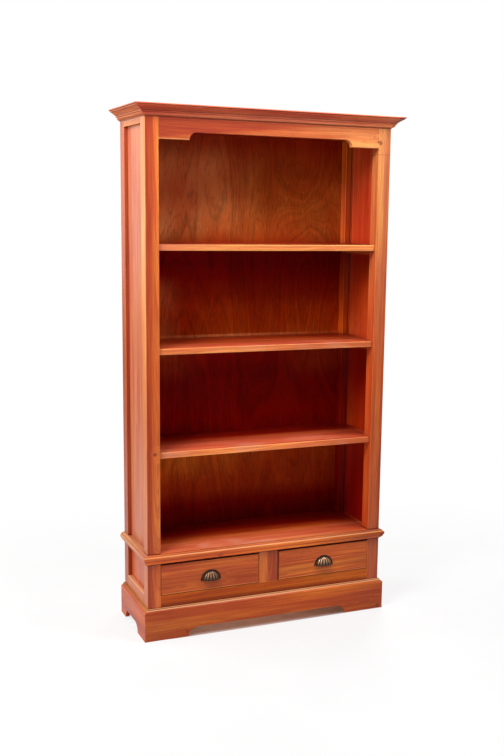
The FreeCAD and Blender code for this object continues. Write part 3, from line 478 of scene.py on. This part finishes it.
def flame_veneer(piece):
    """Peeled veneer: the rings are level lines of a smooth surface, drawn out along the sheet."""
    material, shader, place = new_finish(piece + "_veneer")
    seed = own_seed()
    hills = place.stretched(z=0.30).noise(2.6, 1, seed)
    rings = (hills * 9 + place.stretched(z=0.1).noise(22, 2, seed) * 0.4).rings(1)
    fleck = place.stretched(z=0.20).noise(230, 3, seed)
    fibre = place.stretched(z=0.05).noise(300, 2, seed)
    blotch = place.noise(4, 3, seed)
    patch = place.stretched(z=0.5).noise(10, 3, seed + 1)
    vein = 1 - abs(rings - 0.5).rise(0.0, 0.05)
    figure = (rings - 0.5) * 0.50 + (fleck - 0.5) * 0.8 + (fibre - 0.5) * 1.0 + (blotch - 0.5) * 0.5
    figure = figure + 1.18 - vein * 0.22
    tone, left = veneer_tone(place, piece)
    gilt = patch.ramp([(0.38, (0.95, 0.80, 0.75)), (0.62, (1.05, 1.20, 1.25))])
    # The left of the back, where more light falls, is painted lighter still.
    colour = tone.blend(1.0, gilt, "MULTIPLY").scaled(figure * (1 + left * 0.3))
    shader.inputs["Specular IOR Level"].default_value = 0.05
    feed(shader, Base_Color=colour, Roughness=0.55 + (blotch - 0.5) * 0.15,
         Normal=(fibre + rings * 0.5).bump(0.2))
    return material


dress("back_panel", flame_veneer)


# ---------------------------------------------------------------- shelves, deck and top board
# Solid boards with rounded front edges, notched round the posts and resting on cleats. The deck
# closes the drawer case, the top board closes the bookcase inside the crown.
# The shelves and the deck are painted lit at the front and shaded at the back: the front edge paler, partly a
# paler strip of wood, the top behind it crimson with painted sheen, the ends darker where the posts shade
# them.
pale_and_lit_lip, crimson_sheen, shaded = (1.55, 2.5, 3.5), (1.35, 1.25, 2.8), (0.62, 0.10, 0.08)
BOARD_TINTS = {
    "shelf_upper": [
        ("y", [(-0.137, (1.80, 3.9, 4.9)), (-0.128, (0.30, 0.40, 0.12)), (0.0, shaded)]),
        ("x", [(-0.44, (0.78, 0.50, 0.95)), (-0.1, (1, 1, 1))]),
    ],
    "shelf_middle": [
        ("y", [(-0.137, pale_and_lit_lip), (-0.130, crimson_sheen), (-0.02, (0.9, 0.85, 1.1)), (0.10, (0.75, 0.38, 0.28))]),
        ("x", [(0.0, (1, 1, 1)), (0.44, (0.85, 0.8, 0.85))]),
    ],
    "shelf_lower": [
        ("y", [(-0.137, (1.9, 3.1, 3.9)), (-0.130, crimson_sheen), (-0.06, (1.30, 1.30, 2.7)),
               (-0.01, (1.2, 1.3, 2.2)), (0.06, shaded)]),
        ("x", [(-0.44, (0.75, 0.75, 0.8)), (-0.2, (1, 1, 1)), (0.2, (1, 1, 1)), (0.42, (0.7, 0.6, 0.6))]),
    ],
    "deck": [
        ("y", [(-0.147, (1.6, 2.4, 4.5)), (-0.085, (1.5, 2.0, 3.8)), (-0.04, (1.25, 1.45, 2.3)),
               (0.0, (0.92, 0.72, 0.62)), (0.06, shaded)]),
        ("x", [(0.15, (1, 1, 1)), (0.42, (0.75, 0.55, 0.45))]),
    ],
}
# Pale pink patches on the fronts: scuffing and painted sheen.
SCUFFS_AND_SHEEN = {"shelf_middle": 0.20, "shelf_lower": 0.30, "deck": 0.45}
# The lines are painted shade where the boards meet the posts and along the deck's front edge.
BOARD_LINES = [("x", -inner_face, 0.0025, DUST_AND_SHADE), ("x", inner_face, 0.0025, DUST_AND_SHADE)]
EDGE_LINES = {"deck": [("y", front_face + 0.0005, 0.0014, DUST_AND_SHADE)]}
for name, tints in BOARD_TINTS.items():
    dress(name, stained_wood, "x", tints=tints, lines=BOARD_LINES + EDGE_LINES.get(name, []),
          pith=(0.05, 0.10), scuffs=SCUFFS_AND_SHEEN.get(name, 0))
dress("top_board", stained_wood, "x", pith=(0.05, 0.10))
dress("shelf_cleats", stained_wood, "y", tints=[("z", [(0.7, (1.1, 0.9, 1.1)), (1.5, (1.4, 2.0, 2.6))])])


# ---------------------------------------------------------------- unstained inner pieces
# Runners and kickers carry the drawers and keep them level, and the dust panel under them is held
# by glue blocks in its corners. All are sawn from pale wood and left bare.

def bare_wood(piece, grain):
    """Planed but unfinished pale wood."""
    material, shader, place = new_finish(piece + "_wood")
    seed = own_seed()
    board = on_board(place, grain)
    rings = board.stretched(z=0.06).noise(60, 3, seed)
    fibre = board.stretched(z=0.03).noise(500, 2, seed)
    colour = (rings * 0.6 + fibre * 0.4).ramp([
        (0.32, (0.30, 0.15, 0.07)), (0.5, (0.46, 0.27, 0.13)), (0.7, (0.60, 0.40, 0.22)),
    ])
    feed(shader, Base_Color=colour, Roughness=0.62 + rings * 0.15, Normal=fibre.bump(0.3))
    return material


for name in ("runner_left", "runner_right", "runner_centre", "kickers_outer", "kicker_centre"):
    dress(name, bare_wood, "y")
dress("dust_panel", bare_wood, "x")
dress("corner_blocks", bare_wood, "z")


# ---------------------------------------------------------------- crown, waist and plinth
# Mouldings run from solid lengths, a front and two returns each. They are mitred at the front
# corners, glued and pinned to the case.
# Lines along the mouldings: the pale ones are painted highlights on arrises and ledges that catch the light,
# partly paled by handling, and the dark ones painted shade in the quirks, grooves and gaps.
PALE_HIGHLIGHT = (0.97, 0.50, 0.23)
FAINT_HIGHLIGHT = (0.62, 0.20, 0.065)
MOULDING_LINES = {
    "crown": [("z", 1.9948, 0.0010, RED_SHADE), ("z", 2.0127, 0.0012, RED_SHADE), ("z", 1.9765, 0.0015, RED_SHADE)],
    "waist": [("z", 0.3035, 0.0012, DUST_AND_SHADE), ("z", 0.3198, 0.0010, RED_SHADE), ("z", 0.3371, 0.0010, RED_SHADE),
              ("z", 0.3225, 0.0010, FAINT_HIGHLIGHT)],
    "plinth": [("z", 0.1226, 0.0010, RED_SHADE)],
}
FRONT_LINES = {
    "waist_front": [("z", 0.3035, 0.0012, DUST_AND_SHADE), ("z", 0.3350, 0.0017, PALE_WEAR_AND_HIGHLIGHT), ("z", 0.3388, 0.0008, RED_SHADE),
                    ("y", front_face - 0.0012, 0.0020, DUST_AND_SHADE)],
    "plinth_front": [("y", front_face - 0.0030, 0.0030, PALE_HIGHLIGHT), ("y", front_face - 0.0073, 0.0012, RED_SHADE),
                     ("z", 0.1212, 0.0022, PALE_HIGHLIGHT)],
}
# The tints paint a sheen over the fronts and returns, light on the plinth's top, and shade at the crown's
# right end and towards the plinth's foot.
FRONT_TINTS = {
    "crown": [
        ("x", [(-0.48, (1.22, 1.15, 2.40)), (0.0, (1.38, 1.70, 3.80)), (0.45, (1.55, 2.05, 3.90)),
               (0.50, (1.45, 1.90, 3.40)), (0.535, (0.66, 0.70, 1.60))]),
        ("z", [(1.985, (1.14, 1.32, 1.50)), (1.994, (0.90, 0.86, 0.95)), (2.006, (0.95, 0.88, 0.95)),
               (2.013, (1.10, 1.20, 1.30))]),
    ],
    "waist": [
        ("x", [(-0.45, (1.22, 1.18, 1.05)), (0.0, (1.45, 1.72, 1.40)), (0.20, (1.30, 1.45, 1.25)),
               (0.42, (0.75, 0.68, 0.60))]),
        ("z", [(0.303, (1.50, 2.00, 1.80)), (0.316, (1.36, 1.60, 1.20)), (0.326, (1.12, 1.15, 0.85)),
               (0.334, (0.95, 1.15, 1.50)), (0.341, (0.92, 1.02, 1.45))]),
    ],
    "plinth": [
        ("z", [(0.01, (0.87, 0.86, 0.54)), (0.09, (0.98, 0.87, 0.53)), (0.115, (1.00, 0.95, 0.50))]),
        ("x", [(-0.5, (0.82, 0.82, 0.85)), (-0.1, (1.02, 1.04, 1.05)), (0.20, (1.20, 1.36, 1.18)),
               (0.33, (1.08, 1.18, 1.12)), (0.48, (0.88, 0.90, 1.08))]),
    ],
}
RETURN_TINTS = {
    "crown": [
        ("z", [(1.990, (0.95, 1.35, 1.80)), (1.997, (1.20, 1.90, 2.60)), (2.011, (1.00, 1.40, 1.80))]),
    ],
    "waist": [("z", [(0.320, (0.90, 1.30, 1.60)), (0.338, (0.94, 1.90, 3.60))])],
    "plinth": [
        ("y", [(-0.10, (0.88, 0.72, 0.17)), (0.10, (0.82, 0.62, 0.125))]),
        ("z", [(0.118, (1, 1, 1)), (0.124, (1.1, 3.0, 9.0))]),
    ],
}
plinth_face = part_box("plinth_front")[0].y
MOULDING_KNOTS = {
    "waist_front": [((-0.208, -0.162, 0.312), 0.005), ((0.514, -0.160, 0.322), 0.006)],
    "plinth_front": [((0.022, plinth_face, 0.109), 0.004), ((-0.345, plinth_face, 0.020), 0.008),
                     ((0.422, plinth_face, 0.099), 0.003), ((0.495, plinth_face, 0.012), 0.012)],
}
LENGTHS = (("front", "x", FRONT_TINTS), ("left", "y", RETURN_TINTS), ("right", "y", RETURN_TINTS))
for name in ("crown", "waist", "plinth"):
    for side, grain, tints in LENGTHS:
        length = f"{name}_{side}"
        dress(length, stained_wood, grain, tints=tints[name], pith=(0.02, 0.08), wear=0.20, shine=0.7,
              lines=FRONT_LINES.get(length, MOULDING_LINES[name]), knots=MOULDING_KNOTS.get(length, ()))


# ---------------------------------------------------------------- drawers
# Each front is one board with rounded edges; behind it are thin bare sides, a back and a bottom
# that slides in grooves. A turn button on the back keeps the drawer in the case.
DRAWER_KNOTS = {
    "left": [((-0.187, front_face, 0.220), 0.003), ((-0.076, front_face, 0.201), 0.003),
             ((-0.170, front_face, 0.234), 0.002)],
    "right": [((0.150, front_face, 0.276), 0.003), ((0.151, front_face, 0.262), 0.002)],
}
FIGURE_BOLD = {"left": 1.05, "right": 1.25}
# On the drawer fronts: painted shade in the gap under the waist and beside the muntin, and a painted highlight
# along the lower arris.
DRAWER_LINES = [("z", 0.297, 0.0018, DUST_AND_SHADE), ("x", 0.0447, 0.0030, DUST_AND_SHADE), ("z", 0.1795, 0.0014, FAINT_HIGHLIGHT)]
DRAWER_GRAIN = {"side_outer": "y", "side_inner": "y", "back": "x", "bottom": "x", "stop": "z"}
for side in ("left", "right"):
    dress(f"drawer_{side}_front", stained_wood, "x", tints=[
        ("z", [(0.180, (0.96, 0.92, 0.64)), (0.212, (0.80, 0.70, 0.55)), (0.238, (0.92, 0.90, 0.70)),
               (0.260, (1.27, 1.58, 1.30)), (0.290, (1.25, 1.45, 1.10))]),
        ("x", [(-0.42, (0.92, 0.78, 0.85)), (-0.28, (1, 1, 1)), (0.06, (1.08, 1.06, 0.98)),
               (0.20, (1.20, 1.28, 1.10)), (0.30, (1.20, 1.26, 1.06)), (0.41, (0.98, 0.90, 0.84))]),
    ], lines=DRAWER_LINES, pith=(0.03, 0.09), knots=DRAWER_KNOTS[side], bold=FIGURE_BOLD[side], shine=0.75)
    for part, grain in DRAWER_GRAIN.items():
        dress(f"drawer_{side}_{part}", bare_wood, grain)


# ---------------------------------------------------------------- cup pulls
# Cast shells with ribs that fan out from the top, scalloped along the lower edge, on a heavy
# bead. The metal is dark with age and paled by handling along the ribs, and painted lighter towards
# the top, where the light falls.
RIBS = 8
VALLEY = 0.90   # how far out the shell lies between the ribs, which are at 1
WALL = 0.0018   # the shell's thickness
BEAD = 0.0028   # the bead's radius
RIM = 0.0045    # the shell's edge, measured in from the outside of the bead
PLAY = 0.0006   # how far the shell's front stays within the depth of the pull


def deselect():
    """Leaves nothing selected, so that an operator acts only on what it makes."""
    bpy.ops.object.select_all(action="DESELECT")


def edit_only(choose):
    """Opens the active mesh for editing with only the vertices that pass the test selected."""
    mesh = bpy.context.object.data
    bpy.ops.object.mode_set(mode="EDIT")
    bpy.ops.mesh.select_all(action="DESELECT")
    bpy.ops.object.mode_set(mode="OBJECT")
    for vertex in mesh.vertices:
        vertex.select = choose(vertex.co)
    bpy.ops.object.mode_set(mode="EDIT")


def cut_away(normal, closed=False):
    """Cuts the active mesh through its middle and drops what lies on the normal's side."""
    bpy.ops.mesh.select_all(action="SELECT")
    bpy.ops.mesh.bisect(plane_co=(0, 0, 0), plane_no=normal, use_fill=closed, clear_outer=True)


def in_valley(co):
    """Whether a point of the unit dome lies between two ribs, clear of the poles."""
    half_rib = math.pi / (2 * RIBS)
    return abs(co.z) < 0.985 and round(math.atan2(co.y, co.x) / half_rib) % 2 == 0


def ribbed_shell(reach, out):
    """A quarter of a sphere whose poles are above and below, pushed in between the ribs."""
    deselect()
    bpy.ops.mesh.primitive_uv_sphere_add(segments=4 * RIBS, ring_count=24, radius=1)
    shell = bpy.context.object
    edit_only(in_valley)
    bpy.ops.transform.resize(value=(VALLEY, VALLEY, 1), center_override=(0, 0, 0))
    cut_away((0, 1, 0))
    cut_away((0, 0, -1))
    bpy.ops.mesh.select_all(action="SELECT")
    bpy.ops.transform.resize(value=(reach - RIM, out - PLAY, reach - RIM), center_override=(0, 0, 0))
    bpy.ops.object.mode_set(mode="OBJECT")
    wall = shell.modifiers.new("wall", "SOLIDIFY")
    wall.thickness = WALL
    smooth = shell.modifiers.new("smooth", "SUBSURF")
    smooth.levels = smooth.render_levels = 2
    for modifier in ("wall", "smooth"):
        bpy.ops.object.modifier_apply(modifier=modifier)
    return shell


def half_bead(reach):
    """The bead round the shell: half a ring, flattened towards the drawer."""
    deselect()
    bpy.ops.mesh.primitive_torus_add(major_segments=96, minor_segments=16, major_radius=reach - BEAD,
                                     minor_radius=BEAD, rotation=(math.pi / 2, 0, 0))
    bead = bpy.context.object
    bpy.ops.object.transform_apply(location=True, rotation=True, scale=True)
    bpy.ops.object.mode_set(mode="EDIT")
    cut_away((0, 1, 0), closed=True)
    cut_away((0, 0, -1), closed=True)
    bpy.ops.object.mode_set(mode="OBJECT")
    return bead


def cup_pull():
    """A pull, modelled round the middle of its lower edge, where it meets the drawer."""
    low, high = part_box("drawer_left_pull")
    reach = (high.x - low.x) / 2
    shell = ribbed_shell(reach, high.y - low.y)
    bead = half_bead(reach)
    deselect()
    bead.select_set(True)
    shell.select_set(True)
    bpy.context.view_layer.objects.active = shell
    bpy.ops.object.join()
    bpy.ops.object.shade_smooth()
    return shell


def old_metal(piece, foot, paleness):
    """Cast metal, nearly black in the hollows and paled to a warm grey on the ribs by handling, with
    painted light that makes the ribs paler towards the top.

    foot is the middle of the pull's lower edge and paleness how much paler the ribs are made."""
    material, shader, place = new_finish(piece + "_metal")
    wider_than_deep = 1.6
    spot = place.vectors("SUBTRACT", place, foot)
    x, y, z = (spot.along(axis) for axis in "xyz")
    turn = x.maths("ARCTAN2", y * wider_than_deep, x)
    rib = 0.5 - 0.5 * x.maths("COSINE", turn * (2 * RIBS))
    inside = 1 - spot.vectors("LENGTH", spot.stretched(y=0), output="Value").rise(0.033, 0.0365)
    grime = place.noise(260, 3, 1.0)
    # The ribs are paler from handling and from painted light, which grows towards the top.
    rib_wear_and_top_light = (rib * 0.7 + grime * 0.6 - 0.25) * inside * (0.35 + z.rise(0.0, 0.022) * 0.65) * paleness
    colour = rib_wear_and_top_light.ramp([
        (0.15, (0.030, 0.012, 0.005)), (0.55, (0.19, 0.088, 0.042)), (0.95, (0.52, 0.32, 0.19)),
    ])
    feed(shader, Base_Color=colour, Roughness=0.58 - rib_wear_and_top_light * 0.22, Metallic=0.55 + rib_wear_and_top_light * 0.4,
         Normal=grime.bump(0.3, 0.0004))
    return material


left_pull = cup_pull()
bpy.ops.object.duplicate()
right_pull = bpy.context.object
# The right pull's ribs are made paler than the left's.
for side, pull, paleness in (("left", left_pull, 1.0), ("right", right_pull, 1.3)):
    low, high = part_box(f"drawer_{side}_pull")
    foot = ((low.x + high.x) / 2, high.y, low.z)
    deselect()
    pull.select_set(True)
    bpy.context.view_layer.objects.active = pull
    pull.name = f"cup_pull_{side}"
    pull.location = foot
    bpy.ops.object.transform_apply(location=True, rotation=True, scale=True)
    pull.data.materials.append(old_metal(pull.name, foot, paleness))
    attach(pull, f"drawer_{side}")
    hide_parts(f"drawer_{side}_pull")


# ---------------------------------------------------------------- screws and nails
# Zinc plated screws go through each drawer front from inside and hold its pull. Small headed nails
# of the same steel hold the back panel in its rebates.

def plated_steel(piece):
    """Zinc plated steel, a little dull and uneven."""
    material, shader, place = new_finish(piece + "_steel")
    spots = place.noise(400, 3, 2.0)
    colour = spots.ramp([(0.3, (0.42, 0.41, 0.38)), (0.7, (0.62, 0.62, 0.60))])
    shader.inputs["Metallic"].default_value = 1.0
    feed(shader, Base_Color=colour, Roughness=0.30 + spots * 0.25, Normal=spots.bump(0.2, 0.0002))
    return material


for name in ("drawer_left_pull_screws", "drawer_right_pull_screws", "back_panel_nails"):
    dress(name, plated_steel)


# ---------------------------------------------------------------- floor
# A pale studio floor that runs out to white and keeps the bookcase's shadow. Within the footprint
# the colour the camera sees is painted shade, a streaked brown grey, and white at the left end.
deselect()
bpy.ops.mesh.primitive_plane_add(size=30, location=(0, 6, 0))
floor = bpy.context.object
floor.name = "floor"
bpy.ops.object.transform_apply(location=True, rotation=True, scale=True)
floor_finish, floor_shader, floor_place = new_finish("studio_floor")
mottle = floor_place.noise(3, 4, 5.0)
feed(floor_shader, Base_Color=mottle.ramp([(0.35, (0.78, 0.78, 0.78)), (0.7, (0.86, 0.86, 0.86))]))
floor_shader.inputs["Roughness"].default_value = 0.6

plinth_low, plinth_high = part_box("plinth_front")
outward = floor_place.vectors("ABSOLUTE", floor_place)
beyond = floor_place.vectors("SUBTRACT", outward, (plinth_high.x, -plinth_low.y, 0))
beyond = floor_place.vectors("MAXIMUM", beyond, (0, 0, 0))
away = floor_place.vectors("LENGTH", beyond, output="Value")
floor_streaks = floor_place.stretched(x=0.3).noise(45, 3, 6.0)
# Painted shade for the floor seen under the case, streaked brown grey, turning white at the far left where the
# floor shows through the side's arch.
floor_shade_under_case = floor_place.laid_along("x", [
    (-0.43, (1, 1, 1)), (-0.39, (0.24, 0.11, 0.07)), (-0.10, (0.40, 0.17, 0.11)),
    (0.15, (0.34, 0.13, 0.08)), (0.35, (0.17, 0.07, 0.04)),
]).scaled(mottle.rise(0.3, 0.7) * 0.3 + floor_streaks * 0.8 + 0.4)
shade = floor_shade_under_case.blend(away.rise(0.0, 0.006), (1, 1, 1))

# What the camera sees is part emitted colour, more so further out, and part the lit floor. The
# emitted colour is white outside the footprint and painted shade within it.
white = floor_place.node("BsdfPrincipled", {}, {"Base Color": (0, 0, 0, 1), "Specular IOR Level": 0.0,
                                                "Emission Color": shade, "Emission Strength": 1.0})
lit = Field(floor_finish.node_tree, floor_shader.outputs[0])
seen = floor_place.node("LightPath", {}, {}, "Is Camera Ray")
mixed = lit.node("MixShader", {}, {0: seen * (0.72 + away.rise(0.2, 1.8) * 0.28), 1: lit, 2: white})
surface = floor_finish.node_tree.nodes["Material Output"].inputs["Surface"]
floor_finish.node_tree.links.new(mixed.socket, surface)
floor.data.materials.append(floor_finish)


# ---------------------------------------------------------------- light
# A bright window wall on the left, two softboxes high in front and two fills, in a room that looks
# white to the camera and in reflections but gives little light of its own.
world = bpy.data.worlds.new("studio")
bpy.context.scene.world = world
world.use_nodes = True
backdrop = world.node_tree.nodes["Background"]
path = world.node_tree.nodes.new("ShaderNodeLightPath")
straight, glossy, through = (Field(world.node_tree, path.outputs[f"Is {ray} Ray"])
                             for ray in ("Camera", "Glossy", "Transmission"))
shown = straight.maths("MINIMUM", straight + glossy + through, 1)
room_light = 0.06
world.node_tree.links.new((room_light + shown * (1 - room_light)).socket, backdrop.inputs["Strength"])
backdrop.inputs["Color"].default_value = (1, 1, 1, 1)


def soft_light(name, place, aim, size, power):
    """A rectangular soft light at a place, aimed at a point. size is how wide and how high it is."""
    lamp = bpy.data.lights.new(name, "AREA")
    lamp.shape = "RECTANGLE"
    lamp.size, lamp.size_y = size
    lamp.energy = power
    holder = bpy.data.objects.new(name, lamp)
    bpy.context.scene.collection.objects.link(holder)
    holder.location = place
    holder.rotation_euler = (Vector(aim) - Vector(place)).to_track_quat("-Z", "Y").to_euler()


soft_light("window", place=(-2.6, 1.2, 2.1), aim=(0, 0.1, 1.2), size=(1.8, 2.2), power=63)
soft_light("softbox_left", place=(-1.8, -1.2, 3.0), aim=(0, 0, 1.0), size=(1.2, 1.2), power=74)
soft_light("softbox_right", place=(1.1, -1.1, 3.1), aim=(0, 0, 1.2), size=(1.0, 0.8), power=48)
soft_light("far_fill", place=(-3.4, -2.0, 2.4), aim=(0, 0, 1.2), size=(1.4, 1.6), power=14)
soft_light("back_fill", place=(2.2, 2.8, 2.0), aim=(0, 0.2, 1.0), size=(2.0, 2.0), power=60)


# ---------------------------------------------------------------- camera
# It stands in front and to the left, as high as the top bay, tipped down and turned a degree
# about its own line of sight. The shift puts the bookcase where it is in the frame.
eye = Vector((-1.5751, -3.9361, 1.6509))
yaw, pitch, roll = (math.radians(angle) for angle in (24.202, 9.791, 1.016))
ahead = Vector((math.sin(yaw) * math.cos(pitch), math.cos(yaw) * math.cos(pitch), -math.sin(pitch)))
level = Vector((math.cos(yaw), -math.sin(yaw), 0))
above = level.cross(ahead)
across = level * math.cos(roll) + above * math.sin(roll)
upright = above * math.cos(roll) - level * math.sin(roll)
lens = bpy.data.cameras.new("camera")
lens.lens = 50.68
lens.sensor_width = 36
lens.shift_x = -0.0639
lens.shift_y = 0.0216
camera = bpy.data.objects.new("camera", lens)
bpy.context.scene.collection.objects.link(camera)
turned = Matrix((across, upright, -ahead)).transposed().to_4x4()
camera.matrix_world = Matrix.Translation(eye) @ turned
bpy.context.scene.camera = camera
bpy.context.scene.view_settings.view_transform = "Standard"
